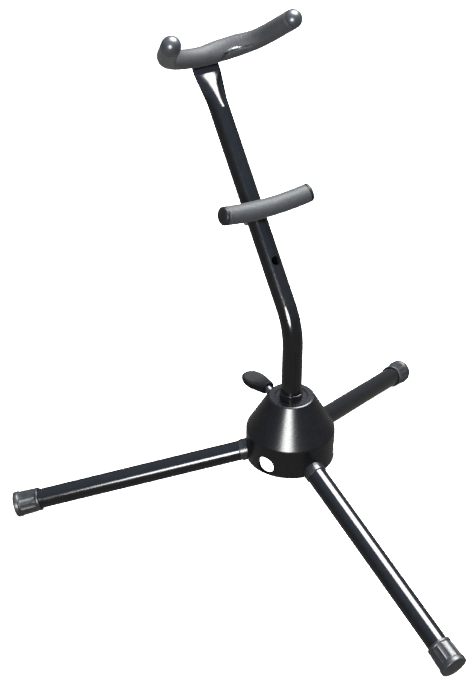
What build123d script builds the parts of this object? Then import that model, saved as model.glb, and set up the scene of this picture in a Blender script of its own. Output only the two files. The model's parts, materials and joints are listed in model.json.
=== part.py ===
"""Knock-down floor stand for a wind instrument: a conical hub on three screw-in
legs, a bent upright clamped in the hub by a wing bolt, a foam-covered rest bar on
the upright and a foam-covered bell yoke on its flattened end.

Frame: origin on the floor, under the hub axis.  +Z up.  The front leg points
along -Y, the upright leans back along +Y, the rest bar and the yoke lie along X.
Millimetres.
"""

from build123d import *
from math import atan2, cos, degrees, pi, radians, sin, tan
import os

os.makedirs("parts", exist_ok=True)

# ------------------------------------------------------------------ dimensions
# tubes
TUBE_R = 9.5  # 19 mm steel tube, legs and upright
TUBE_BORE_R = 8.0  # 1.5 mm wall

# legs
LEG_AZIMUTHS = {"front": -90.0, "right": 30.0, "left": 150.0}
LEG_SLOPE = 16.3  # degrees below horizontal, outwards
FOOT_END = 274.3  # end of the rubber foot, along the leg from the hub axis
FOOT_LEN = 24.8
FOOT_MOUTH_R = 11.3
FOOT_BODY_R = 11.7
FOOT_FLANGE_R = 12.4
FOOT_FLANGE_LEN = 5.0
FOOT_FLANGE_FILLET = 1.2
FOOT_FLOOR = 3.6  # rubber under the end of the tube
FOOT_FLUTES = 20
FOOT_FLUTE_R = 0.7
LEG_RING = 49.0  # joint line between the tube and its threaded plug
LEG_SEAT = 36.5  # face of the core boss that the plug's shoulder meets
PLUG_R = 10.3
PLUG_SPIGOT_END = 69.0
LEG_THREAD_R = 5.0  # M10 x 1.5
LEG_THREAD_START = 18.5
FIT = 0.05  # radial clearance of a running fit

# The leg axes meet the hub axis at HUB_LEG_Z, so that the feet stand on z = 0:
# the lowest point of a foot is on the rounding of its flange.
s_, c_ = sin(radians(LEG_SLOPE)), cos(radians(LEG_SLOPE))
HUB_LEG_Z = (
    (FOOT_END - FOOT_FLANGE_FILLET) * s_
    + (FOOT_FLANGE_R - FOOT_FLANGE_FILLET) * c_
    + FOOT_FLANGE_FILLET
)

# hub
HUB_R = 41.8
HUB_RIM_Z = 72.5
HUB_CREASE_Z = 102.0
HUB_TOP_Z = 138.0
HUB_TOP_R = 21.3
HUB_WALL = 3.2
HUB_TOP_WALL = 4.0
LEG_HOLE_R = 10.7
ACCESSORY_HOLE_R = 8.6
ACCESSORY_HOLE_Z = 82.2
ACCESSORY_AZIMUTHS = (-156.0, -36.0, 84.0)
CORE_R = 16.0
CORE_FLANGE_R = 24.5
CORE_FLANGE_Z = (91.0, 95.0)
CORE_BOSS_R = 7.6
CORE_FLOOR_Z = 78.0
CORE_BOTTOM_Z = 74.0
SCREW_AZIMUTHS = (-30.0, -150.0)
SCREW_PCR = 20.5

# clamping bush around the upright
BUSH_R = 10.9
BUSH_BOTTOM_Z = 100.0
BUSH_TOP_Z = 143.0
BUSH_SLIT = 1.4
BUSH_SLIT_AZ = -120.0

# wing bolt, on the rear flank
WING_Z = 119.7  # where its axis leaves the flank
WING_ELEV = 12.0
WING_THREAD_R = 4.0  # M8 x 1.25
WING_NECK = 9.25  # bare thread between the flank and the head
WING_HEAD_END = 38.9

# upright
UP_BOTTOM_Z = 80.1
UP_BEND_Z = 211.6
UP_TILT = 38.55
UP_BEND_R = 57.0
SPARE_HOLE_S = 62.0  # distances along the tilted part, from the bend's vertex
REST_HOLE_S = 108.6
PRESS_START_S = 209.0
PRESS_END_S = 243.5
PLATE_END_S = 263.0
PLATE_W = 27.6
PLATE_T = 3.2
BOLT_R = 4.0  # M8 stem of the rest bar

# rest bar
REST_O = 23.9  # bar axis in front of the tube axis
REST_HALF = 43.1  # half length of the foam
REST_FOAM_R = 8.7
REST_SWEEP = 3.0  # the ends stand this far forward of the middle
REST_RISE = 2.4  # and this far up
REST_PLUG = 4.6

# yoke
YOKE_S = 258.8
YOKE_O = 5.2
YOKE_FOAM_R = 9.06
ROD_R = 4.0
YOKE_R1, YOKE_A1 = 65.0, 33.0  # base arc
YOKE_R2, YOKE_A2 = 43.0, 73.9  # corner arcs
YOKE_ARM = 30.0

# ------------------------------------------------------------------ frames
tau = radians(UP_TILT)
UT = Vector(0, sin(tau), cos(tau))  # up along the tilted tube
NF = Vector(0, -cos(tau), sin(tau))  # forward, away from the tube's front
BEND = Vector(0, 0, UP_BEND_Z)


def on_upright(s, o=0.0, x=0.0):
    """The point s along the tilted tube, o in front of its axis, x to the right."""
    return BEND + UT * s + NF * o + Vector(x, 0, 0)


def along(origin, direction, side):
    """A plane whose Y runs along direction, to revolve a profile about it."""
    d = Vector(*direction).normalized()
    x = Vector(*side)
    x = (x - d * x.dot(d)).normalized()
    return Plane(origin=origin, x_dir=x, z_dir=x.cross(d))


def domed_end(radius, start, apex, corner):
    """The edges of a shallow dome in a profile: a rounded corner that begins at
    (radius, start), then a cap centred on the axis, up to (0, apex)."""
    xc, h = radius - corner, apex - start
    cap = (xc * xc + h * h - corner * corner) / (2 * (h - corner))
    turn = degrees(atan2(cap - h, xc))
    CenterArc((xc, start), corner, 0, turn)
    CenterArc((0, apex - cap), cap, turn, 90 - turn)


def save(part, name):
    part.label = name
    export_step(part, f"parts/{name}.step")
    print(f"{name}: {part.volume:.0f} mm3, {len(part.solids())} solid(s)")


print(f"hub leg height {HUB_LEG_Z:.3f}")

# ------------------------------------------------------------------ upright frame pieces first
# bell yoke rod: one bent bar, symmetric, lying in the plane across the tube
a1, a2 = radians(YOKE_A1), radians(YOKE_A2)
p1 = (YOKE_R1 * sin(a1), YOKE_R1 * (1 - cos(a1)))
m1 = (YOKE_R1 * sin(a1 / 2), YOKE_R1 * (1 - cos(a1 / 2)))
cx, cy = p1[0] - YOKE_R2 * sin(a1), p1[1] + YOKE_R2 * cos(a1)
am = (a1 + a2) / 2
m2 = (cx + YOKE_R2 * sin(am), cy - YOKE_R2 * cos(am))
p2 = (cx + YOKE_R2 * sin(a2), cy - YOKE_R2 * cos(a2))
p3 = (p2[0] + YOKE_ARM * cos(a2), p2[1] + YOKE_ARM * sin(a2))
print("yoke end centres: +-%.2f, forward %.2f" % (p3[0], p3[1] + YOKE_O))


def yoke_point(p, side=1):
    return on_upright(YOKE_S, YOKE_O + p[1], side * p[0])


ARM_DIR = {
    sd: (Vector(sd * cos(a2), 0, 0) + NF * sin(a2)).normalized() for sd in (1, -1)
}


def yoke_path(extra):
    """The rod's centre line, with each arm longer by extra."""
    q3 = (p3[0] + extra * cos(a2), p3[1] + extra * sin(a2))
    with BuildLine() as path:
        Line(yoke_point(q3, -1), yoke_point(p2, -1))
        ThreePointArc(yoke_point(p2, -1), yoke_point(m2, -1), yoke_point(p1, -1))
        ThreePointArc(yoke_point(p1, -1), yoke_point((0, 0)), yoke_point(p1))
        ThreePointArc(yoke_point(p1), yoke_point(m2), yoke_point(p2))
        Line(yoke_point(p2), yoke_point(q3))
    return path.line


def yoke_end_plane(extra):
    q3 = (p3[0] + extra * cos(a2), p3[1] + extra * sin(a2))
    return Plane(origin=yoke_point(q3, -1), x_dir=UT, z_dir=-ARM_DIR[-1])


rod_line = yoke_path(3.5)
with BuildPart() as yoke_rod:
    with BuildSketch(yoke_end_plane(3.5)):
        Circle(ROD_R)
    sweep(path=rod_line)

# ------------------------------------------------------------------ upright tube
with BuildLine() as up_line:
    FilletPolyline(
        (0, 0, UP_BOTTOM_Z), (0, 0, UP_BEND_Z), on_upright(PRESS_START_S), radius=UP_BEND_R
    )
with BuildLine() as up_bore_line:
    FilletPolyline(
        (0, 0, UP_BOTTOM_Z - 1), (0, 0, UP_BEND_Z), on_upright(PRESS_START_S), radius=UP_BEND_R
    )


def pressed_section(s, width, thick, corner):
    """A rounded rectangle across the tube at s, and its eight edges."""
    with BuildSketch(Plane(origin=on_upright(s), x_dir=(1, 0, 0), z_dir=UT)) as sk:
        RectangleRounded(width, thick, corner)
    return sk.sketch


def round_section(s, radius, flat):
    """The tube's circle at s as eight arcs, to loft to a rounded rectangle."""
    half = degrees(flat / radius / 2)
    with BuildSketch(Plane(origin=on_upright(s), x_dir=(1, 0, 0), z_dir=UT)) as sk:
        with BuildLine():
            for k in range(4):
                CenterArc((0, 0), radius, 90 * k - half, 2 * half)
                CenterArc((0, 0), radius, 90 * k + half, 90 - 2 * half)
        make_face()
    return sk.sketch


with BuildPart() as upright_tube:
    with BuildSketch(Plane.XY.offset(UP_BOTTOM_Z)):
        Circle(TUBE_R)
    sweep(path=up_line.line)
    with BuildSketch(Plane.XY.offset(UP_BOTTOM_Z - 1)):
        Circle(TUBE_BORE_R)
    sweep(path=up_bore_line.line, mode=Mode.SUBTRACT)
    # the pressed end: a short transition, then a flat plate
    loft(
        [
            round_section(PRESS_START_S, TUBE_R, 1.0),
            pressed_section(PRESS_END_S, PLATE_W, PLATE_T, PLATE_T / 2 - 0.01),
        ],
        ruled=True,
    )
    with BuildSketch(Plane(origin=on_upright(PRESS_END_S), x_dir=(1, 0, 0), z_dir=UT)):
        RectangleRounded(PLATE_W, PLATE_T, PLATE_T / 2 - 0.01)
    extrude(amount=PLATE_END_S - PRESS_END_S)
    loft(
        [
            round_section(PRESS_START_S, TUBE_BORE_R, 0.9),
            pressed_section(PRESS_END_S - 3, PLATE_W - 4, 0.6, 0.25),
        ],
        ruled=True,
        mode=Mode.SUBTRACT,
    )
    # two cross holes for the rest bar's stem
    for s in (SPARE_HOLE_S, REST_HOLE_S):
        with BuildSketch(Plane(origin=on_upright(s, -15), x_dir=(1, 0, 0), z_dir=NF)):
            Circle(BOLT_R + FIT)
        extrude(amount=30, mode=Mode.SUBTRACT)
    # the seat that the yoke rod is welded in
    add(yoke_rod.part, mode=Mode.SUBTRACT)
save(upright_tube.part, "upright_tube")
save(yoke_rod.part, "yoke_rod")

with BuildPart() as upright_end_plug:
    with BuildSketch(Plane.XZ):
        with BuildLine():
            Polyline(
                (0, UP_BOTTOM_Z - 2),
                (TUBE_R - 0.8, UP_BOTTOM_Z - 2),
                (TUBE_R - 0.1, UP_BOTTOM_Z - 1.3),
                (TUBE_R - 0.1, UP_BOTTOM_Z),
                (TUBE_BORE_R, UP_BOTTOM_Z),
                (TUBE_BORE_R, UP_BOTTOM_Z + 10),
                (TUBE_BORE_R - 1.6, UP_BOTTOM_Z + 12),
                (TUBE_BORE_R - 2.4, UP_BOTTOM_Z + 12),
                (TUBE_BORE_R - 2.4, UP_BOTTOM_Z + 2),
                (0, UP_BOTTOM_Z + 2),
                close=True,
            )
        make_face()
    revolve(axis=Axis.Z)
save(upright_end_plug.part, "upright_end_plug")

# ------------------------------------------------------------------ yoke foam and end plugs
foam_line = yoke_path(0)
with BuildPart() as yoke_foam:
    with BuildSketch(yoke_end_plane(0)):
        Circle(YOKE_FOAM_R)
        Circle(ROD_R, mode=Mode.SUBTRACT)
    sweep(path=foam_line)
    # the slit that lets the flattened tube in
    with BuildSketch(Plane(origin=on_upright(PRESS_END_S), x_dir=(1, 0, 0), z_dir=UT)):
        Rectangle(PLATE_W + 0.4, PLATE_T + 0.4)
    extrude(amount=PLATE_END_S + 0.2 - PRESS_END_S, mode=Mode.SUBTRACT)
save(yoke_foam.part, "yoke_foam")

for sd, side in ((1, "right"), (-1, "left")):
    pl = along(yoke_point(p3, sd), ARM_DIR[sd], UT)
    with BuildPart() as plug:
        with BuildSketch(pl):
            with BuildLine():
                top = YOKE_FOAM_R - 0.1
                Line((0, top), (0, 3.7))
                Line((0, 3.7), (ROD_R, 3.7))
                Line((ROD_R, 3.7), (ROD_R, 0))
                Line((ROD_R, 0), (top, 0))
                CenterArc((0, 0), top, 0, 90)
            make_face()
        revolve(axis=Axis(yoke_point(p3, sd), ARM_DIR[sd]))
    save(plug.part, f"yoke_end_plug_{side}")

# ------------------------------------------------------------------ rest bar
bar_mid = on_upright(REST_HOLE_S, REST_O)


def bar_point(x):
    k = (x / REST_HALF) ** 2
    return on_upright(REST_HOLE_S + REST_RISE * k, REST_O + REST_SWEEP * k, x)


def bar_line(half):
    with BuildLine() as ln:
        ThreePointArc(bar_point(-half), bar_mid, bar_point(half))
    return ln.line


def bar_end(half, sd):
    """Frame at an end of the bar: the point and the outward direction."""
    ln = bar_line(half)
    if sd > 0:
        return ln @ 1, (ln % 1).normalized()
    return ln @ 0, -(ln % 0).normalized()


end_point, end_dir = bar_end(REST_HALF + 2.6, -1)
with BuildPart() as rest_bar_rod:
    with BuildSketch(Plane(origin=end_point, x_dir=UT, z_dir=-end_dir)):
        Circle(ROD_R)
    sweep(path=bar_line(REST_HALF + 2.6))
    # threaded stem, welded to the middle of the rod
    with BuildSketch(Plane(origin=on_upright(REST_HOLE_S, -21.2), x_dir=(1, 0, 0), z_dir=NF)):
        Circle(BOLT_R)
    extrude(amount=REST_O + 21.2)
save(rest_bar_rod.part, "rest_bar_rod")

end_point, end_dir = bar_end(REST_HALF, -1)
with BuildPart() as rest_bar_foam:
    with BuildSketch(Plane(origin=end_point, x_dir=UT, z_dir=-end_dir)):
        Circle(REST_FOAM_R)
        Circle(ROD_R, mode=Mode.SUBTRACT)
    sweep(path=bar_line(REST_HALF))
    with BuildSketch(Plane(origin=on_upright(REST_HOLE_S, 0), x_dir=(1, 0, 0), z_dir=NF)):
        Circle(BOLT_R)
    extrude(amount=REST_O, mode=Mode.SUBTRACT)
save(rest_bar_foam.part, "rest_bar_foam")

for sd, side in ((1, "right"), (-1, "left")):
    end_point, end_dir = bar_end(REST_HALF, sd)
    pl = along(end_point, end_dir, UT)
    with BuildPart() as plug:
        with BuildSketch(pl):
            with BuildLine():
                top = REST_FOAM_R - 0.1
                Line((0, REST_PLUG), (0, 2.8))
                Line((0, 2.8), (ROD_R, 2.8))
                Line((ROD_R, 2.8), (ROD_R, 0))
                Line((ROD_R, 0), (top, 0))
                Line((top, 0), (top, 1.2))
                domed_end(top, 1.2, REST_PLUG, 2.2)
            make_face()
        revolve(axis=Axis(end_point, end_dir))
    save(plug.part, f"rest_bar_end_plug_{side}")

# saddle between the tube and the bar
with BuildPart() as rest_bar_saddle:
    with BuildSketch(Plane(origin=on_upright(REST_HOLE_S, 5.0), x_dir=(1, 0, 0), z_dir=NF)):
        Circle(7.6)
        Circle(BOLT_R + FIT, mode=Mode.SUBTRACT)
    extrude(amount=REST_O - REST_FOAM_R - 0.35 - 5.0)
    with BuildSketch(Plane(origin=on_upright(REST_HOLE_S - 20), x_dir=(1, 0, 0), z_dir=UT)):
        Circle(TUBE_R)
    extrude(amount=40, mode=Mode.SUBTRACT)
    fillet(
        rest_bar_saddle.faces().sort_by(Axis(on_upright(0), NF))[-1].outer_wire().edges(), 0.8
    )
save(rest_bar_saddle.part, "rest_bar_saddle")

# washer and nut behind the tube
REAR = Plane(origin=on_upright(REST_HOLE_S, -TUBE_R - 0.1), x_dir=(1, 0, 0), z_dir=-NF)
with BuildPart() as rest_bar_washer:
    with BuildSketch(REAR):
        Circle(8.0)
        Circle(BOLT_R + FIT, mode=Mode.SUBTRACT)
    extrude(amount=1.6)
save(rest_bar_washer.part, "rest_bar_washer")

with BuildPart() as rest_bar_nut:
    with BuildSketch(REAR.offset(1.65)):
        RegularPolygon(6.5, 6, major_radius=False)
        Circle(BOLT_R + FIT, mode=Mode.SUBTRACT)
    extrude(amount=6.4)
    # chamfered corners: what lies inside a cone at each end
    with BuildSketch(along(REAR.offset(1.65).origin, REAR.z_dir, (1, 0, 0))):
        with BuildLine():
            Polyline((0, -0.1), (6.6, -0.1), (7.6, 0.6), (7.6, 5.8), (6.6, 6.5), (0, 6.5), close=True)
        make_face()
    revolve(axis=Axis(REAR.origin, REAR.z_dir), mode=Mode.INTERSECT)
save(rest_bar_nut.part, "rest_bar_nut")

# ------------------------------------------------------------------ wing bolt frame
we = radians(WING_ELEV)
WING_DIR = Vector(0, cos(we), sin(we))
slope_r = (HUB_R - HUB_TOP_R) / (HUB_TOP_Z - HUB_CREASE_Z)
flank_r = HUB_R - (WING_Z - HUB_CREASE_Z) * slope_r
WING_AT = Vector(0, flank_r, WING_Z)


def wing_plane(t):
    return Plane(origin=WING_AT + WING_DIR * t, x_dir=(1, 0, 0), z_dir=WING_DIR)


# distance along the bolt, back from the flank, to the bush
tip_t = -(flank_r - (BUSH_R + 0.15)) / cos(we)

# ------------------------------------------------------------------ hub shell
def leg_dir(az):
    a = radians(az)
    return Vector(cos(a) * c_, sin(a) * c_, -s_)


def leg_side(az):
    a = radians(az)
    return Vector(-sin(a), cos(a), 0)


HUB_CENTRE = Vector(0, 0, HUB_LEG_Z)


def leg_plane(az, a):
    return Plane(origin=HUB_CENTRE + leg_dir(az) * a, x_dir=leg_side(az), z_dir=leg_dir(az))


wall_v = HUB_WALL / sin(atan2(HUB_R - HUB_TOP_R, HUB_TOP_Z - HUB_CREASE_Z))
with BuildPart() as hub_shell:
    with BuildSketch(Plane.XZ):
        with BuildLine() as outer:
            Polyline(
                (0, HUB_RIM_Z), (HUB_R, HUB_RIM_Z), (HUB_R, HUB_CREASE_Z), (HUB_TOP_R, HUB_TOP_Z), (0, HUB_TOP_Z), close=True
            )
        make_face()
    revolve(axis=Axis.Z)
    crease = hub_shell.edges().filter_by(GeomType.CIRCLE).filter_by(
        lambda e: abs(e.center().Z - HUB_CREASE_Z) < 0.01
    )
    fillet(crease, 4.0)
    rim = hub_shell.edges().filter_by(GeomType.CIRCLE).filter_by(
        lambda e: abs(e.center().Z - HUB_TOP_Z) < 0.01
    )
    fillet(rim, 2.4)
    # inside, open below
    with BuildSketch(Plane.XZ):
        with BuildLine():
            ri = HUB_R - HUB_WALL
            zi = HUB_CREASE_Z - 1.2
            zt = HUB_TOP_Z - HUB_TOP_WALL
            rt = ri - (zt - zi) * slope_r
            Polyline((0, HUB_RIM_Z - 1), (ri, HUB_RIM_Z - 1), (ri, zi), (rt, zt), (0, zt), close=True)
        make_face()
    revolve(axis=Axis.Z, mode=Mode.SUBTRACT)
    # posts for the core's screws
    for az in SCREW_AZIMUTHS:
        with BuildSketch(Plane.XY.offset(CORE_FLANGE_Z[1])):
            with Locations((SCREW_PCR * cos(radians(az)), SCREW_PCR * sin(radians(az)))):
                Circle(3.8)
        extrude(amount=131.0 - CORE_FLANGE_Z[1])
    # shallow dish in the top, and the bush's bore
    with BuildSketch(Plane.XZ):
        with BuildLine():
            Polyline(
                (0, HUB_TOP_Z - 0.9), (14.6, HUB_TOP_Z - 0.9), (15.8, HUB_TOP_Z + 0.3), (0, HUB_TOP_Z + 0.3), close=True
            )
        make_face()
    revolve(axis=Axis.Z, mode=Mode.SUBTRACT)
    with BuildSketch(Plane.XY.offset(HUB_TOP_Z - 10)):
        Circle(BUSH_R + FIT)
    extrude(amount=12, mode=Mode.SUBTRACT)
    # leg passages
    for az in LEG_AZIMUTHS.values():
        with BuildSketch(leg_plane(az, 30)):
            Circle(LEG_HOLE_R)
        extrude(amount=25, mode=Mode.SUBTRACT)
    # accessory holes
    for az in ACCESSORY_AZIMUTHS:
        a = radians(az)
        h = Vector(cos(a), sin(a), 0)
        with BuildSketch(
            Plane(origin=Vector(0, 0, ACCESSORY_HOLE_Z) + h * 33, x_dir=(-sin(a), cos(a), 0), z_dir=h)
        ):
            Circle(ACCESSORY_HOLE_R)
        extrude(amount=12, mode=Mode.SUBTRACT)
    # hole for the wing bolt's insert
    with BuildSketch(wing_plane(-14)):
        Circle(6.0)
    extrude(amount=24, mode=Mode.SUBTRACT)
    # pilot holes in the posts
    for az in SCREW_AZIMUTHS:
        with BuildSketch(Plane.XY.offset(CORE_FLANGE_Z[1])):
            with Locations((SCREW_PCR * cos(radians(az)), SCREW_PCR * sin(radians(az)))):
                Circle(2.0)
        extrude(amount=9.0, mode=Mode.SUBTRACT)
save(hub_shell.part, "hub_shell")

# ------------------------------------------------------------------ hub core
with BuildPart() as hub_core:
    with BuildSketch(Plane.XY.offset(CORE_BOTTOM_Z)):
        Circle(CORE_R)
    extrude(amount=HUB_TOP_Z - HUB_TOP_WALL - CORE_BOTTOM_Z)
    with BuildSketch(Plane.XY.offset(CORE_FLANGE_Z[0])):
        Circle(CORE_FLANGE_R)
    extrude(amount=CORE_FLANGE_Z[1] - CORE_FLANGE_Z[0])
    for az in LEG_AZIMUTHS.values():
        with BuildSketch(leg_plane(az, 8)):
            Circle(CORE_BOSS_R)
        extrude(amount=LEG_SEAT - 8)
    # nothing below the rim, nor inside the guide bore
    with BuildSketch(Plane.XY.offset(HUB_RIM_Z - 20)):
        Circle(60)
    extrude(amount=20.5, mode=Mode.SUBTRACT)
    with BuildSketch(Plane.XY.offset(CORE_FLOOR_Z)):
        Circle(TUBE_R + FIT)
    extrude(amount=80, mode=Mode.SUBTRACT)
    with BuildSketch(Plane.XY.offset(BUSH_BOTTOM_Z - 0.1)):
        Circle(BUSH_R + FIT)
    extrude(amount=60, mode=Mode.SUBTRACT)
    with BuildSketch(Plane.XY.offset(CORE_BOTTOM_Z - 4)):
        Circle(4.0)
    extrude(amount=20, mode=Mode.SUBTRACT)
    # threads for the legs, and for the wing bolt's insert
    for az in LEG_AZIMUTHS.values():
        with BuildSketch(leg_plane(az, LEG_THREAD_START - 1.0)):
            Circle(LEG_THREAD_R + FIT)
        extrude(amount=40, mode=Mode.SUBTRACT)
    with BuildSketch(wing_plane(tip_t - 3)):
        Circle(WING_THREAD_R + 0.3)
    extrude(amount=40, mode=Mode.SUBTRACT)
    with BuildSketch(wing_plane(-flank_r + 13.4)):
        Circle(6.0)
    extrude(amount=40, mode=Mode.SUBTRACT)
    for az in SCREW_AZIMUTHS:
        with BuildSketch(Plane.XY.offset(CORE_FLANGE_Z[0] - 1)):
            with Locations((SCREW_PCR * cos(radians(az)), SCREW_PCR * sin(radians(az)))):
                Circle(2.2)
        extrude(amount=10, mode=Mode.SUBTRACT)
save(hub_core.part, "hub_core")

with BuildPart() as core_screws:
    for az in SCREW_AZIMUTHS:
        at = (SCREW_PCR * cos(radians(az)), SCREW_PCR * sin(radians(az)))
        with BuildSketch(Plane.XY.offset(CORE_FLANGE_Z[0] - 2.6)):
            with Locations(at):
                Circle(3.5)
        extrude(amount=2.6)
        with BuildSketch(Plane.XY.offset(CORE_FLANGE_Z[0] - 0.5)):
            with Locations(at):
                Circle(2.0)
        extrude(amount=12.0)
        with BuildSketch(Plane.XY.offset(CORE_FLANGE_Z[0] - 2.7)):
            with Locations(at):
                RegularPolygon(1.5, 6, major_radius=False)
        extrude(amount=1.6, mode=Mode.SUBTRACT)
save(core_screws.part, "core_screws")

# ------------------------------------------------------------------ clamping bush
with BuildPart() as clamp_bush:
    with BuildSketch(Plane.XY.offset(BUSH_BOTTOM_Z)):
        Circle(BUSH_R)
        Circle(TUBE_R + FIT, mode=Mode.SUBTRACT)
    extrude(amount=BUSH_TOP_Z - BUSH_BOTTOM_Z)
    top_rim = (
        clamp_bush.edges()
        .filter_by(GeomType.CIRCLE)
        .filter_by(lambda e: abs(e.center().Z - BUSH_TOP_Z) < 0.01 and e.radius > BUSH_R - 0.1)
    )
    fillet(top_rim, 0.7)
    with BuildSketch(Plane.XY.offset(BUSH_BOTTOM_Z + 6)):
        with Locations(Rotation(0, 0, BUSH_SLIT_AZ)):
            with Locations((TUBE_R + 1, 0)):
                Rectangle(6, BUSH_SLIT)
    extrude(amount=60, mode=Mode.SUBTRACT)
save(clamp_bush.part, "clamp_bush")

# ------------------------------------------------------------------ wing bolt
with BuildPart() as wing_bolt_insert:
    with BuildSketch(wing_plane(-flank_r + 13.4)):
        Circle(6.0)
        Circle(WING_THREAD_R + FIT, mode=Mode.SUBTRACT)
    extrude(amount=flank_r - 13.4 + 2.0)
    chamfer(wing_bolt_insert.faces().sort_by(Axis(WING_AT, WING_DIR))[-1].outer_wire().edges(), 0.6)
    # the guide bore runs past its inner end
    with BuildSketch(Plane.XY.offset(90)):
        Circle(BUSH_R + 0.2)
    extrude(amount=60, mode=Mode.SUBTRACT)
save(wing_bolt_insert.part, "wing_bolt_insert")

with BuildPart() as wing_bolt_stud:
    with BuildSketch(along(WING_AT, WING_DIR, (1, 0, 0))):
        with BuildLine():
            Line((0, tip_t), (0, WING_NECK + 11))
            Line((0, WING_NECK + 11), (WING_THREAD_R, WING_NECK + 11))
            tip_r = (WING_THREAD_R**2 + 2.4**2) / (2 * 2.4)
            Line((WING_THREAD_R, WING_NECK + 11), (WING_THREAD_R, tip_t + 2.4))
            tip_a = degrees(atan2(2.4 - tip_r, WING_THREAD_R))
            CenterArc((0, tip_t + tip_r), tip_r, -90, 90 + tip_a)
        make_face()
    revolve(axis=Axis(WING_AT, WING_DIR))
save(wing_bolt_stud.part, "wing_bolt_stud")

# the head: a tapered boss and one broad thumb tab, set a little above the axis
tab_up = Rotation(0, 0, 0)
with BuildPart() as wing_bolt_head:
    with BuildSketch(along(WING_AT, WING_DIR, (1, 0, 0))):
        with BuildLine():
            Polyline(
                (WING_THREAD_R + FIT, WING_NECK),
                (7.2, WING_NECK),
                (8.4, WING_NECK + 1.4),
                (8.4, WING_NECK + 4.5),
                (6.6, WING_NECK + 15.0),
                (0, WING_NECK + 15.0),
                (0, WING_NECK + 11.1),
                (WING_THREAD_R + FIT, WING_NECK + 11.1),
                close=True,
            )
        make_face()
    revolve(axis=Axis(WING_AT, WING_DIR))
    # thumb tab, outlined in the plane of the bolt, thick across it
    tab_normal = Vector(0, -sin(we), cos(we)).rotate(Axis((0, 0, 0), WING_DIR), -8.7)
    tab_side = WING_DIR.cross(tab_normal)
    with BuildSketch(
        Plane(origin=WING_AT + tab_normal * 3.0, x_dir=tab_side, z_dir=tab_side.cross(WING_DIR))
    ):
        with BuildLine():
            b0 = WING_NECK + 1.6
            Line((-6.2, b0), (6.2, b0))
            Line((6.2, b0), (9.4, WING_HEAD_END - 9))
            TangentArc((9.4, WING_HEAD_END - 9), (4.0, WING_HEAD_END), tangent=(3.2, WING_HEAD_END - 9 - b0))
            Line((4.0, WING_HEAD_END), (-4.0, WING_HEAD_END))
            TangentArc((-9.4, WING_HEAD_END - 9), (-4.0, WING_HEAD_END), tangent=(-3.2, WING_HEAD_END - 9 - b0))
            Line((-9.4, WING_HEAD_END - 9), (-6.2, b0))
        make_face()
    extrude(amount=3.6)
    # hollow for the end of the stud
    with BuildSketch(wing_plane(WING_NECK - 1)):
        Circle(WING_THREAD_R + FIT)
    extrude(amount=12.1, mode=Mode.SUBTRACT)
save(wing_bolt_head.part, "wing_bolt_head")

# ------------------------------------------------------------------ legs
for name, az in LEG_AZIMUTHS.items():
    axis = Axis(HUB_CENTRE, leg_dir(az))
    prof = along(HUB_CENTRE, leg_dir(az), leg_side(az))
    tube_end = FOOT_END - FOOT_FLOOR

    with BuildPart() as leg_tube:
        with BuildSketch(leg_plane(az, LEG_RING)):
            Circle(TUBE_R)
            Circle(TUBE_BORE_R, mode=Mode.SUBTRACT)
        extrude(amount=tube_end - LEG_RING)
    save(leg_tube.part, f"leg_tube_{name}")

    with BuildPart() as leg_plug:
        with BuildSketch(prof):
            with BuildLine():
                Polyline(
                    (0, LEG_THREAD_START),
                    (LEG_THREAD_R - 1.0, LEG_THREAD_START),
                    (LEG_THREAD_R, LEG_THREAD_START + 1.0),
                    (LEG_THREAD_R, LEG_SEAT + 0.1),
                    (PLUG_R - 0.8, LEG_SEAT + 0.1),
                    (PLUG_R, LEG_SEAT + 0.9),
                    (PLUG_R, LEG_RING - 0.9 - FIT),
                    (PLUG_R - 0.9, LEG_RING - FIT),
                    (TUBE_BORE_R - FIT, LEG_RING - FIT),
                    (TUBE_BORE_R - FIT, PLUG_SPIGOT_END - 1.0),
                    (TUBE_BORE_R - 1.0 - FIT, PLUG_SPIGOT_END),
                    (0, PLUG_SPIGOT_END),
                    close=True,
                )
            make_face()
        revolve(axis=axis)
    save(leg_plug.part, f"leg_plug_{name}")

    with BuildPart() as foot:
        mouth = FOOT_END - FOOT_LEN
        fl = FOOT_END - FOOT_FLANGE_LEN
        with BuildSketch(prof):
            with BuildLine():
                Polyline(
                    (TUBE_R, mouth),
                    (FOOT_MOUTH_R - 0.5, mouth),
                    (FOOT_MOUTH_R, mouth + 0.5),
                    (FOOT_MOUTH_R, mouth + 2.6),
                    (FOOT_MOUTH_R - 0.6, mouth + 3.1),
                    (FOOT_BODY_R, fl - 0.8),
                    (FOOT_FLANGE_R, fl),
                    (FOOT_FLANGE_R, FOOT_END - FOOT_FLANGE_FILLET),
                )
                domed_end(FOOT_FLANGE_R, FOOT_END - FOOT_FLANGE_FILLET, FOOT_END + 0.75, FOOT_FLANGE_FILLET)
                Polyline((0, FOOT_END + 0.75), (0, tube_end), (TUBE_R, tube_end), (TUBE_R, mouth))
            make_face()
        revolve(axis=axis)
        # lengthwise grip flutes between the lip and the flange
        with BuildSketch(leg_plane(az, mouth + 4.2)):
            with PolarLocations(FOOT_BODY_R + 0.25, FOOT_FLUTES):
                Circle(FOOT_FLUTE_R)
        extrude(amount=fl - 1.4 - (mouth + 4.2), mode=Mode.SUBTRACT)
    save(foot.part, f"foot_{name}")
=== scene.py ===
"""Looks for the folding floor stand: camera, two soft lights, stage, materials,
and the soft or moulded pieces that the CAD model only blocks out."""

import json
from math import acos, atan2, cos, pi, radians, sin, sqrt, tan

import bmesh
import bpy
from mathutils import Matrix, Vector


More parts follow.
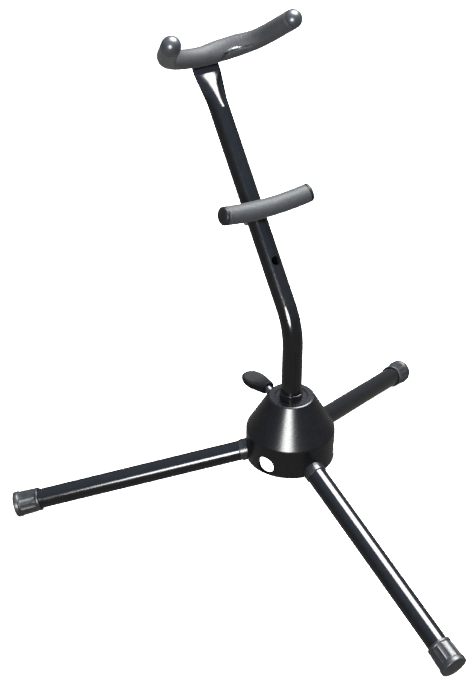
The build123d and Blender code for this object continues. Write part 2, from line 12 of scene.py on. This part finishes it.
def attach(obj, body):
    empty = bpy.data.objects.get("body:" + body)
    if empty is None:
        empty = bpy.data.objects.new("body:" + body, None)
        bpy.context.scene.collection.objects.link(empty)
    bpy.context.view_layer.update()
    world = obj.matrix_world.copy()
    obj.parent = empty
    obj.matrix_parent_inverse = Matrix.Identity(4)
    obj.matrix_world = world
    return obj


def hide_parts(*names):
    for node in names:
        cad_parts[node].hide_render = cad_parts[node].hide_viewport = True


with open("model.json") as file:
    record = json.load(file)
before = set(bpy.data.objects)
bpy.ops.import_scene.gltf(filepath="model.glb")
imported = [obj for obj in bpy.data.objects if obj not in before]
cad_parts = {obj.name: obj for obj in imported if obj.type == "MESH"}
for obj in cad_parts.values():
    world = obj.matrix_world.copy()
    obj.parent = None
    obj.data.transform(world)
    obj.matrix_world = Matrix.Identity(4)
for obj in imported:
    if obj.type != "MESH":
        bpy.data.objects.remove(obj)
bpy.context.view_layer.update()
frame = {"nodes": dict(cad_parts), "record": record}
record = frame["record"]
MM = 0.001
X, Y, Z = Vector((1, 0, 0)), Vector((0, 1, 0)), Vector((0, 0, 1))

# ------------------------------------------------------------------ geometry of the part, in mm
TAU = radians(38.55)
UT = Vector((0, sin(TAU), cos(TAU)))
NF = Vector((0, -cos(TAU), sin(TAU)))
BEND = Vector((0, 0, 211.6))


def on_upright(s, o=0.0, x=0.0):
    return BEND + UT * s + NF * o + X * x


LEGS = {"front": -90.0, "right": 30.0, "left": 150.0}
SLOPE = radians(16.3)
HUB_CENTRE = Vector((0, 0, 88.6))
FOOT_END, FOOT_LEN = 274.3, 24.8
YOKE_S, YOKE_O, YOKE_R = 258.8, 5.2, 9.06
R1, A1, R2, A2, ARM = 65.0, radians(33.0), 43.0, radians(73.9), 30.0
BAR_S, BAR_O, BAR_HALF, BAR_R, SWEEP, RISE = 108.6, 23.9, 43.1, 8.7, 3.0, 2.4
WING_ELEV = radians(12.0)
WING_AT = Vector((0, 31.72, 119.7))
WING_DIR = Vector((0, cos(WING_ELEV), sin(WING_ELEV)))


# ------------------------------------------------------------------ materials
def node(tree, kind, at, **values):
    n = tree.nodes.new(kind)
    n.location = at
    for k, v in values.items():
        setattr(n, k, v)
    return n


def noise(tree, coord, scale, detail=3.0, rough=0.5, at=(0, 0)):
    n = node(tree, "ShaderNodeTexNoise", at)
    n.inputs["Scale"].default_value = scale
    n.inputs["Detail"].default_value = detail
    n.inputs["Roughness"].default_value = rough
    tree.links.new(coord, n.inputs["Vector"])
    return n


def ramp(tree, fac, lo, hi, p0=0.35, p1=0.65, at=(0, 0)):
    n = node(tree, "ShaderNodeValToRGB", at)
    e = n.color_ramp.elements
    e[0].position, e[1].position = p0, p1
    e[0].color = (*lo, 1)
    e[1].color = (*hi, 1)
    tree.links.new(fac, n.inputs["Fac"])
    return n


def spread(tree, fac, lo, hi, at=(0, 0)):
    n = node(tree, "ShaderNodeMapRange", at)
    n.inputs["From Min"].default_value = 0.3
    n.inputs["From Max"].default_value = 0.7
    n.inputs["To Min"].default_value = lo
    n.inputs["To Max"].default_value = hi
    tree.links.new(fac, n.inputs["Value"])
    return n


def finish_of(name, lo, hi, rough, colour_scale=140.0, rough_scale=420.0, metal=0.0,
              bump=None, voronoi=None, sheen=0.0, coat=0.0, specular=0.5, ior=1.5):
    """A procedural finish: mottled colour, uneven roughness, and a fine relief."""
    m = bpy.data.materials.new(name)
    m.use_nodes = True
    t = m.node_tree
    t.nodes.clear()
    out = node(t, "ShaderNodeOutputMaterial", (600, 0))
    b = node(t, "ShaderNodeBsdfPrincipled", (300, 0))
    t.links.new(b.outputs["BSDF"], out.inputs["Surface"])
    co = node(t, "ShaderNodeTexCoord", (-900, 0)).outputs["Object"]
    c = ramp(t, noise(t, co, colour_scale, at=(-600, 200)).outputs["Fac"], lo, hi, at=(-300, 200))
    t.links.new(c.outputs["Color"], b.inputs["Base Color"])
    r = spread(t, noise(t, co, rough_scale, at=(-600, -50)).outputs["Fac"], *rough, at=(-300, -50))
    t.links.new(r.outputs["Result"], b.inputs["Roughness"])
    b.inputs["Metallic"].default_value = metal
    b.inputs["IOR"].default_value = ior
    b.inputs["Specular IOR Level"].default_value = specular
    if sheen:
        b.inputs["Sheen Weight"].default_value = sheen
        b.inputs["Sheen Roughness"].default_value = 0.45
    if coat:
        b.inputs["Coat Weight"].default_value = coat
        b.inputs["Coat Roughness"].default_value = 0.06
    last = None
    if bump:
        scale, strength, depth = bump
        bn = node(t, "ShaderNodeBump", (0, -250))
        bn.inputs["Strength"].default_value = strength
        bn.inputs["Distance"].default_value = depth
        t.links.new(noise(t, co, scale, 4.0, 0.55, at=(-600, -300)).outputs["Fac"], bn.inputs["Height"])
        last = bn
    if voronoi:
        scale, strength, depth = voronoi
        vo = node(t, "ShaderNodeTexVoronoi", (-600, -550))
        vo.inputs["Scale"].default_value = scale
        t.links.new(co, vo.inputs["Vector"])
        bv = node(t, "ShaderNodeBump", (100, -450))
        bv.inputs["Strength"].default_value = strength
        bv.inputs["Distance"].default_value = depth
        t.links.new(vo.outputs["Distance"], bv.inputs["Height"])
        if last:
            t.links.new(last.outputs["Normal"], bv.inputs["Normal"])
        last = bv
    if last:
        t.links.new(last.outputs["Normal"], b.inputs["Normal"])
    return m


FINISH = {
    "gloss_coat": finish_of("gloss_coat", (0.0026, 0.0028, 0.0034), (0.0040, 0.0042, 0.0050), (0.13, 0.17),
                            bump=(620.0, 0.06, 0.0003)),
    "hub_coat": finish_of("hub_coat", (0.0016, 0.0017, 0.0022), (0.0026, 0.0027, 0.0033), (0.25, 0.28),
                          bump=(420.0, 0.03, 0.0002)),
    "cast_metal": finish_of("cast_metal", (0.030, 0.030, 0.033), (0.060, 0.060, 0.064), (0.40, 0.55), metal=0.8,
                            bump=(700.0, 0.3, 0.0006)),
    "black_steel": finish_of("black_steel", (0.006, 0.0065, 0.0075), (0.012, 0.0125, 0.014), (0.22, 0.30),
                             bump=(800.0, 0.08, 0.0003)),
    "zinc_steel": finish_of("zinc_steel", (0.40, 0.41, 0.43), (0.52, 0.53, 0.55), (0.24, 0.34), metal=1.0,
                            bump=(1100.0, 0.08, 0.0003)),
    "zinc_steel_dull": finish_of("zinc_steel_dull", (0.10, 0.10, 0.11), (0.16, 0.16, 0.17), (0.26, 0.36), metal=1.0,
                                 bump=(1100.0, 0.08, 0.0003)),
    "moulded_plastic": finish_of("moulded_plastic", (0.0060, 0.0063, 0.0072), (0.0100, 0.0104, 0.0116), (0.38, 0.46),
                                 bump=(1500.0, 0.14, 0.0003), specular=0.22),
    "moulded_plastic_dark": finish_of("moulded_plastic_dark", (0.0040, 0.0042, 0.0050), (0.0075, 0.0078, 0.0088),
                                      (0.44, 0.52), bump=(1500.0, 0.16, 0.0003), specular=0.07),
    "moulded_plastic_shiny": finish_of("moulded_plastic_shiny", (0.0030, 0.0031, 0.0036), (0.0050, 0.0052, 0.0058),
                                       (0.10, 0.15), bump=(600.0, 0.04, 0.0003)),
    "gloss_plastic": finish_of("gloss_plastic", (0.016, 0.018, 0.022), (0.026, 0.029, 0.034), (0.30, 0.36),
                               bump=(500.0, 0.04, 0.0003), specular=0.75),
    "foam": finish_of("foam", (0.023, 0.025, 0.027), (0.036, 0.038, 0.041), (0.46, 0.56), colour_scale=900.0,
                      bump=(2200.0, 0.42, 0.0005), voronoi=(1400.0, 0.22, 0.0004), sheen=0.04, specular=0.30),
    "foot_rubber": finish_of("foot_rubber", (0.009, 0.0100, 0.0110), (0.017, 0.0185, 0.020), (0.33, 0.43),
                             bump=(1300.0, 0.12, 0.0003)),
}
# the bush's rim is polished, and the rod inside the sleeve is bare steel
OWN = {"clamp_bush": "moulded_plastic_shiny", "yoke_rod": "zinc_steel", "wing_bolt_stud": "zinc_steel_dull"}
for sub in record["subparts"]:
    ob = frame["nodes"][sub["node"]]
    ob.data.materials.clear()
    ob.data.materials.append(FINISH[OWN.get(sub["node"], sub["material_slot"])])


# ------------------------------------------------------------------ mesh helpers
def mesh_object(name, verts, faces, slot, smooth=True, bevel=None):
    me = bpy.data.meshes.new(name)
    me.from_pydata([tuple(Vector(v) * MM) for v in verts], [], faces)
    me.validate()
    bm = bmesh.new()
    bm.from_mesh(me)
    bmesh.ops.remove_doubles(bm, verts=bm.verts, dist=1e-6)
    bmesh.ops.recalc_face_normals(bm, faces=bm.faces)
    for f in bm.faces:
        f.smooth = smooth
    bm.to_mesh(me)
    bm.free()
    ob = bpy.data.objects.new(name, me)
    bpy.context.scene.collection.objects.link(ob)
    me.materials.append(FINISH[slot])
    return ob


def skin(rings, closed=True, cap_first=False, cap_last=False):
    """Faces between successive rings of points."""
    verts, faces, n = [], [], len(rings[0])
    for r in rings:
        verts += r
    for i in range(len(rings) - 1):
        a, b = i * n, (i + 1) * n
        for j in range(n if closed else n - 1):
            k = (j + 1) % n
            faces.append((a + j, a + k, b + k, b + j))
    if cap_first:
        faces.append(tuple(range(n)))
    if cap_last:
        faces.append(tuple(range(len(verts) - n, len(verts)))[::-1])
    return verts, faces


def ease(v, lo, hi):
    v = max(0.0, min(1.0, (v - lo) / (hi - lo)))
    return v * v * (3 - 2 * v)


def wrinkle(u, a, seed=0.0):
    return (sin(0.11 * u + 1.7 * a + seed) + 0.6 * sin(0.23 * u - 2.1 * a + 2.2 * seed)) * 0.5


# ------------------------------------------------------------------ foam sleeve of the yoke
px1, py1 = R1 * sin(A1), R1 * (1 - cos(A1))
ccx, ccy = px1 - R2 * sin(A1), py1 + R2 * cos(A1)
px2, py2 = ccx + R2 * sin(A2), ccy - R2 * cos(A2)
L1, L2 = R1 * A1, R2 * (A2 - A1)
HALF_RUN = L1 + L2 + ARM


def yoke_at(u):
    """Point on the sleeve's centre line u mm from its middle, tangent and inward normal."""
    sg, d = (1.0, u) if u >= 0 else (-1.0, -u)
    if d <= L1:
        a = d / R1
        x, y = R1 * sin(a), R1 * (1 - cos(a))
    elif d <= L1 + L2:
        a = A1 + (d - L1) / R2
        x, y = ccx + R2 * sin(a), ccy - R2 * cos(a)
    else:
        a = A2
        x, y = px2 + (d - L1 - L2) * cos(a), py2 + (d - L1 - L2) * sin(a)
    a *= sg
    return on_upright(YOKE_S, YOKE_O + y, sg * x), X * cos(a) + NF * sin(a), NF * cos(a) - X * sin(a)


SLIT_FROM, SLIT_TO = 11.8, 50.0


def slit_line(u):
    """How far below the inward side the slit lies, in degrees, and its width in mm."""
    table = [(11.0, 66), (13.5, 60), (18.5, 34), (25.0, 22), (34.0, 24), (45.0, 35), (52.0, 40)]
    th = table[0][1]
    for (u0, t0), (u1, t1) in zip(table, table[1:]):
        if u >= u0:
            k = min(1.0, (u - u0) / (u1 - u0))
            th = t0 + (t1 - t0) * (k * k * (3 - 2 * k))
    if u < SLIT_FROM or u > SLIT_TO:
        return radians(th), 0.0
    w = 4.6 * ease(u, SLIT_FROM - 0.5, SLIT_FROM + 3.0) * (1 - ease(u, 21.0, SLIT_TO)) ** 1.1
    return radians(th), max(w, 0.0)


def yoke_sleeve():
    n = 96
    runs, u = [], -HALF_RUN
    while u < HALF_RUN - 1e-6:
        runs.append(u)
        u += 0.7 if 8 < u < 54 else 1.6
    runs.append(HALF_RUN)
    verts, faces, rows = [], [], []
    for u in runs:
        p, t, m = yoke_at(u)
        th, gap = slit_line(u)
        open_ = gap > 0.05
        end = HALF_RUN - abs(u)
        row = []
        for shell in (0, 1):
            r0 = YOKE_R if shell == 0 else 4.25
            half = gap / 2 / r0 if open_ else 0.0
            ids = []
            for j in range(n + 1):
                if j == n and not open_:
                    ids.append(ids[0])
                    continue
                a = th + half + (2 * pi - 2 * half) * j / n
                r = r0
                if shell == 0:
                    # the flattened tube pushes the sleeve up above its right edge
                    lift = 2.3 * ease(u, -6, 16) * (1 - ease(u, 30, 52))
                    r += lift * max(0.0, cos(a + radians(84))) ** 1.6
                    # the sleeve flattens a little along the lips
                    if open_:
                        near = min(a - th, 2 * pi - (a - th)) * r0
                        r -= 0.55 * max(0.0, 1 - near / 2.2) ** 2
                    r += 0.09 * wrinkle(u, a)
                    # bends crease the foam on their inner side
                    bend = ease(abs(u), 30, 42) * (1 - ease(abs(u), 64, 78))
                    r += 0.10 * bend * max(0.0, cos(a)) * sin(u * 2.0)
                    # cross wrinkles where the sleeve is pushed up
                    top = max(0.0, cos(a + radians(80))) ** 2
                    r += 0.07 * top * ease(u, 18, 26) * (1 - ease(u, 44, 52)) * sin(u * 1.35)
                    # rolled edge
                    if end < 1.4:
                        r -= 0.75 * (1 - end / 1.4) ** 2
                verts.append(p + (m * cos(a) - UT * sin(a)) * r)
                ids.append(len(verts) - 1)
            row.append(ids)
        rows.append((row, open_))
    for (ra, oa), (rb, ob) in zip(rows, rows[1:]):
        for j in range(n):
            faces.append((ra[0][j], ra[0][j + 1], rb[0][j + 1], rb[0][j]))
            faces.append((ra[1][j], rb[1][j], rb[1][j + 1], ra[1][j + 1]))
        if oa or ob:
            faces.append((ra[0][0], rb[0][0], rb[1][0], ra[1][0]))
            faces.append((ra[0][n], ra[1][n], rb[1][n], rb[0][n]))
    for row, _ in (rows[0], rows[-1]):
        for j in range(n):
            faces.append((row[0][j], row[0][j + 1], row[1][j + 1], row[1][j]))
    me = bpy.data.meshes.new("yoke_foam_sleeve")
    clean = []
    for f in faces:
        g = [v for i, v in enumerate(f) if v != f[i - 1]]
        if len(set(g)) >= 3:
            clean.append(tuple(g))
    me.from_pydata([tuple(v * MM) for v in verts], [], clean)
    me.validate()
    bm = bmesh.new()
    bm.from_mesh(me)
    bmesh.ops.recalc_face_normals(bm, faces=bm.faces)
    for f in bm.faces:
        f.smooth = True
    for e in bm.edges:
        if len(e.link_faces) == 2 and e.calc_face_angle(0) > radians(50):
            e.smooth = False
    bm.to_mesh(me)
    bm.free()
    ob = bpy.data.objects.new("yoke_foam_sleeve", me)
    bpy.context.scene.collection.objects.link(ob)
    me.materials.append(FINISH["foam"])
    return ob


sleeve = yoke_sleeve()
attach(sleeve, "upright")
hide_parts("yoke_foam")


# ------------------------------------------------------------------ foam sleeve of the rest bar
def bar_at(x):
    k = (x / BAR_HALF) ** 2
    p = on_upright(BAR_S + RISE * k, BAR_O + SWEEP * k, x)
    d = X + (UT * RISE + NF * SWEEP) * (2 * x / BAR_HALF**2)
    return p, d.normalized()


def bar_sleeve():
    n, rings = 72, []
    steps = 120
    inner = []
    for i in range(steps + 1):
        x = -BAR_HALF + 2 * BAR_HALF * i / steps
        p, t = bar_at(x)
        e1 = (NF - t * NF.dot(t)).normalized()
        e2 = t.cross(e1)
        end = BAR_HALF - abs(x)
        ring = []
        for j in range(n):
            a = 2 * pi * j / n
            r = BAR_R + 0.08 * wrinkle(x * 1.3, a, 1.1)
            if end < 1.4:
                r -= 0.7 * (1 - end / 1.4) ** 2
            # the saddle dents the back of the foam
            dent = max(0.0, -cos(a)) ** 4 * max(0.0, 1 - (x / 8.5) ** 2)
            r -= 0.35 * dent
            ring.append(p + (e1 * cos(a) + e2 * sin(a)) * r)
        rings.append(ring)
    first, last = bar_at(-BAR_HALF), bar_at(BAR_HALF)

    def hole(p, t):
        e1 = (NF - t * NF.dot(t)).normalized()
        e2 = t.cross(e1)
        return [p + (e1 * cos(2 * pi * j / n) + e2 * sin(2 * pi * j / n)) * 4.2 for j in range(n)]

    rings = [hole(*first)] + rings + [hole(*last)]
    v, f = skin(rings)
    ob = mesh_object("rest_bar_foam_sleeve", v, f, "foam")
    return ob


bar = bar_sleeve()
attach(bar, "rest_bar")
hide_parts("rest_bar_foam")


# ------------------------------------------------------------------ rubber feet
def foot(name, az):
    a0 = radians(az)
    d = Vector((cos(a0) * cos(SLOPE), sin(a0) * cos(SLOPE), -sin(SLOPE)))
    s = Vector((-sin(a0), cos(a0), 0))
    w = d.cross(s)
    mouth = FOOT_END - FOOT_LEN
    fl = FOOT_END - 5.0
    # distance along the leg, radius, how much of the flutes shows
    prof = [(mouth + 3.0, 9.62, 0), (mouth + 0.4, 9.62, 0), (mouth, 9.95, 0), (mouth, 10.75, 0), (mouth + 0.12, 11.1, 0),
            (mouth + 0.5, 11.3, 0), (mouth + 2.2, 11.32, 0), (mouth + 2.6, 11.2, 0), (mouth + 2.9, 10.85, 0),
            (mouth + 3.3, 10.8, 0.1), (mouth + 3.8, 11.05, 0.5), (mouth + 4.6, 11.2, 0.9), (mouth + 6.5, 11.28, 1),
            (mouth + 9.0, 11.36, 1), (mouth + 12.0, 11.46, 1), (mouth + 15.0, 11.56, 1), (fl - 2.2, 11.66, 1),
            (fl - 1.4, 11.68, 0.7), (fl - 0.9, 11.55, 0.2), (fl - 0.5, 11.5, 0), (fl - 0.1, 11.75, 0), (fl + 0.2, 12.2, 0),
            (fl + 0.6, 12.38, 0), (FOOT_END - 1.5, 12.4, 0)]
    for k in range(1, 9):
        q = radians(90 * k / 8)
        prof.append((FOOT_END - 1.2 + 1.2 * sin(q), 11.2 + 1.2 * cos(q), 0))
    for r in (10.6, 9.0, 7.0, 5.0, 3.0, 1.0):
        prof.append((FOOT_END + 0.75 * (1 - (r / 11.2) ** 2), r, 0))
    n, flutes, rings = 224, 14, []
    for a, r, k in prof:
        ring = []
        for j in range(n):
            q = 2 * pi * j / n
            # broad shallow hollows between narrow ridges
            ph = (q * flutes / (2 * pi)) % 1.0
            hollow = max(0.0, sin(pi * ph)) ** 0.55
            ring.append(HUB_CENTRE + d * a + (s * cos(q) + w * sin(q)) * (r - 0.72 * k * (hollow - 0.12)))
        rings.append(ring)
    v, f = skin(rings, cap_last=True)
    ob = mesh_object(f"foot_{name}_moulded", v, f, "foot_rubber")
    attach(ob, f"leg_{name}")
    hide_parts(f"foot_{name}")
    return ob


for leg, az in LEGS.items():
    foot(leg, az)


# ------------------------------------------------------------------ head of the wing bolt
def wing_head():
    up = Vector((0, -sin(WING_ELEV), cos(WING_ELEV)))
    up = (up * cos(radians(-8.7)) + WING_DIR.cross(up) * sin(radians(-8.7))).normalized()
    side = WING_DIR.cross(up).normalized()
    # along the bolt, middle and half width across it, underside, top, squareness
    rows = [
        (9.25, 0, 4.2, -4.2, 4.2, 2.0), (9.25, 0, 6.6, -6.6, 6.6, 2.0), (9.5, 0, 7.0, -7.0, 7.0, 2.0),
        (10.6, -0.1, 7.2, -7.3, 6.8, 2.1), (12.5, -0.3, 7.5, -7.8, 6.0, 2.3), (15.0, -0.9, 7.8, -8.2, 5.0, 2.7),
        (18.0, -2.2, 8.4, -8.2, 4.3, 3.4), (20.5, -3.6, 9.3, -7.8, 3.9, 4.4), (23.5, -5.1, 10.0, -7.2, 3.8, 5.0),
        (27.0, -6.6, 9.8, -6.4, 3.9, 5.0), (30.0, -7.7, 8.6, -5.4, 4.0, 5.0), (32.2, -8.6, 7.0, -4.2, 4.0, 4.6),
        (33.6, -9.2, 5.2, -2.3, 3.8, 4.0), (34.5, -9.6, 3.4, -1.2, 3.4, 3.2), (34.8, -9.8, 1.6, 0.0, 2.6, 2.4),
    ]
    n, rings = 64, []
    for t, xm, hw, lo, hi, sq in rows:
        mid, hh = (lo + hi) / 2, (hi - lo) / 2
        ring = []
        for j in range(n):
            q = 2 * pi * j / n
            cx = abs(cos(q)) ** (2 / sq) * (1 if cos(q) >= 0 else -1)
            cy = abs(sin(q)) ** (2 / sq) * (1 if sin(q) >= 0 else -1)
            # the top face is dished for the thumb
            y = mid + hh * cy
            if cy > 0:
                y -= 0.40 * ease(t, 18, 24) * (1 - ease(t, 29, 34)) * (1 - min(1.0, abs(cx) * 1.15) ** 2)
            # the underside narrows towards the web
            x = hw * cx * (1 - 0.22 * max(0.0, -cy) * ease(t, 12, 24))
            ring.append(WING_AT + WING_DIR * t + side * x + X * xm + up * y)
        rings.append(ring)
    v, f = skin(rings, cap_first=False, cap_last=True)
    ob = mesh_object("wing_bolt_paddle", v, f, "moulded_plastic_dark")
    sub = ob.modifiers.new("round", "SUBSURF")
    sub.levels = sub.render_levels = 2
    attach(ob, "wing_head")
    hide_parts("wing_bolt_head")
    return ob


wing_head()


# ------------------------------------------------------------------ stage
def stage_material(name, colour, emit, one_sided=False):
    m = bpy.data.materials.new(name)
    m.use_nodes = True
    t = m.node_tree
    t.nodes.clear()
    out = node(t, "ShaderNodeOutputMaterial", (600, 0))
    co = node(t, "ShaderNodeTexCoord", (-900, 0)).outputs["Object"]
    tint = ramp(t, noise(t, co, 2.0).outputs["Fac"], colour, tuple(min(1.0, c * 1.01) for c in colour), at=(-300, 0))
    if emit:
        s = node(t, "ShaderNodeEmission", (0, 0))
        s.inputs["Strength"].default_value = emit
    else:
        s = node(t, "ShaderNodeBsdfDiffuse", (0, 0))
    t.links.new(tint.outputs["Color"], s.inputs["Color"])
    if one_sided:
        # a lit floor that glows a little, so that shadows on it stay faint
        lit = node(t, "ShaderNodeBsdfDiffuse", (0, -350))
        t.links.new(tint.outputs["Color"], lit.inputs["Color"])
        both = node(t, "ShaderNodeAddShader", (150, -100))
        t.links.new(s.outputs[0], both.inputs[0])
        t.links.new(lit.outputs[0], both.inputs[1])
        s = both
        clear = node(t, "ShaderNodeBsdfTransparent", (0, -200))
        mix = node(t, "ShaderNodeMixShader", (300, 0))
        t.links.new(node(t, "ShaderNodeNewGeometry", (0, 250)).outputs["Backfacing"], mix.inputs["Fac"])
        t.links.new(s.outputs[0], mix.inputs[1])
        t.links.new(clear.outputs[0], mix.inputs[2])
        t.links.new(mix.outputs[0], out.inputs["Surface"])
    else:
        t.links.new(s.outputs[0], out.inputs["Surface"])
    return m


def disc(name, radius, z, mat, n=96):
    me = bpy.data.meshes.new(name)
    bm = bmesh.new()
    bmesh.ops.create_circle(bm, cap_ends=True, segments=n, radius=radius)
    bm.normal_update()
    for f in bm.faces:
        if f.normal.z < 0:
            f.normal_flip()
    bmesh.ops.translate(bm, verts=bm.verts, vec=(0, 0, z))
    bm.to_mesh(me)
    bm.free()
    ob = bpy.data.objects.new(name, me)
    bpy.context.scene.collection.objects.link(ob)
    me.materials.append(mat)
    return ob


floor = disc("stage_floor", 9.0, -0.0004, stage_material("stage_floor", (0.86, 0.86, 0.86), 0.82, one_sided=True))
floor.visible_glossy = False
floor.visible_diffuse = False
me = bpy.data.meshes.new("stage_dome")
bm = bmesh.new()
bmesh.ops.create_uvsphere(bm, u_segments=64, v_segments=32, radius=12.0)
bmesh.ops.reverse_faces(bm, faces=bm.faces)
for f in bm.faces:
    f.smooth = True
bm.to_mesh(me)
bm.free()
dome = bpy.data.objects.new("stage_dome", me)
bpy.context.scene.collection.objects.link(dome)
me.materials.append(stage_material("stage_dome", (0.99, 0.99, 0.99), 1.05))
dome.visible_glossy = dome.visible_diffuse = dome.visible_transmission = dome.visible_shadow = False

# ------------------------------------------------------------------ light
TARGET = Vector((0, 0.05, 0.22))


def softbox(name, az, el, distance, radius, radiance, colour=(1, 1, 1)):
    d = Vector((cos(radians(el)) * cos(radians(az)), cos(radians(el)) * sin(radians(az)), sin(radians(el))))
    li = bpy.data.lights.new(name, "AREA")
    li.shape = "DISK"
    li.size = 2 * radius
    li.energy = 4 * pi * radius * radius * radiance
    li.color = colour
    ob = bpy.data.objects.new(name, li)
    bpy.context.scene.collection.objects.link(ob)
    ob.location = TARGET + d * distance
    ob.rotation_euler = (-d).to_track_quat("-Z", "Y").to_euler()
    ob.visible_camera = False
    return ob


softbox("overhead_softbox", 16, 67, 2.5, 1.05, 22.0)
softbox("front_softbox", -130, 17, 3.0, 0.68, 28.0)

world = bpy.data.worlds.new("surround")
bpy.context.scene.world = world
world.use_nodes = True
t = world.node_tree
t.nodes.clear()
out = node(t, "ShaderNodeOutputWorld", (600, 0))
bg = node(t, "ShaderNodeBackground", (300, 0))
sep = node(t, "ShaderNodeSeparateXYZ", (-300, 0))
t.links.new(node(t, "ShaderNodeTexCoord", (-600, 0)).outputs["Generated"], sep.inputs[0])
mr = node(t, "ShaderNodeMapRange", (-150, 0))
mr.inputs["From Min"].default_value = -1
mr.inputs["From Max"].default_value = 1
t.links.new(sep.outputs["Z"], mr.inputs["Value"])
cr = node(t, "ShaderNodeValToRGB", (0, 0))
cr.color_ramp.elements[0].position = 0.30
cr.color_ramp.elements[0].color = (0.30, 0.285, 0.265, 1)
cr.color_ramp.elements[1].position = 0.95
cr.color_ramp.elements[1].color = (0.62, 0.80, 1.0, 1)
for pos, c in ((0.52, (0.24, 0.245, 0.25)), (0.70, (0.34, 0.39, 0.47)), (0.86, (0.50, 0.64, 0.86))):
    e = cr.color_ramp.elements.new(pos)
    e.color = (*c, 1)
t.links.new(mr.outputs["Result"], cr.inputs["Fac"])
t.links.new(cr.outputs["Color"], bg.inputs["Color"])
t.links.new(bg.outputs["Background"], out.inputs["Surface"])
bg.inputs["Strength"].default_value = 0.78

sc = bpy.context.scene
sc.view_settings.view_transform = "Standard"
sc.view_settings.look = "None"
sc.view_settings.exposure = 0.0
sc.view_settings.gamma = 1.0

# ------------------------------------------------------------------ camera
PSI, EPS, ROLL = radians(-31.25), radians(32.54), radians(0.34)
back = Vector((sin(PSI) * cos(EPS), -cos(PSI) * cos(EPS), sin(EPS)))
right = (-back).cross(Z).normalized()
upv = right.cross(-back)
r2 = right * cos(ROLL) + upv * sin(ROLL)
u2 = upv * cos(ROLL) - right * sin(ROLL)
cam = bpy.data.cameras.new("camera")
cam.lens = 84.95
cam.sensor_width = 36.0
cam.sensor_fit = "AUTO"
cam.clip_end = 60.0
cam_ob = bpy.data.objects.new("camera", cam)
sc.collection.objects.link(cam_ob)
cam_ob.matrix_world = Matrix(
    (
        (r2.x, u2.x, back.x, -0.68148),
        (r2.y, u2.y, back.y, -1.02531),
        (r2.z, u2.z, back.z, 0.98239),
        (0, 0, 0, 1),
    )
)
sc.camera = cam_ob

bpy.context.view_layer.update()
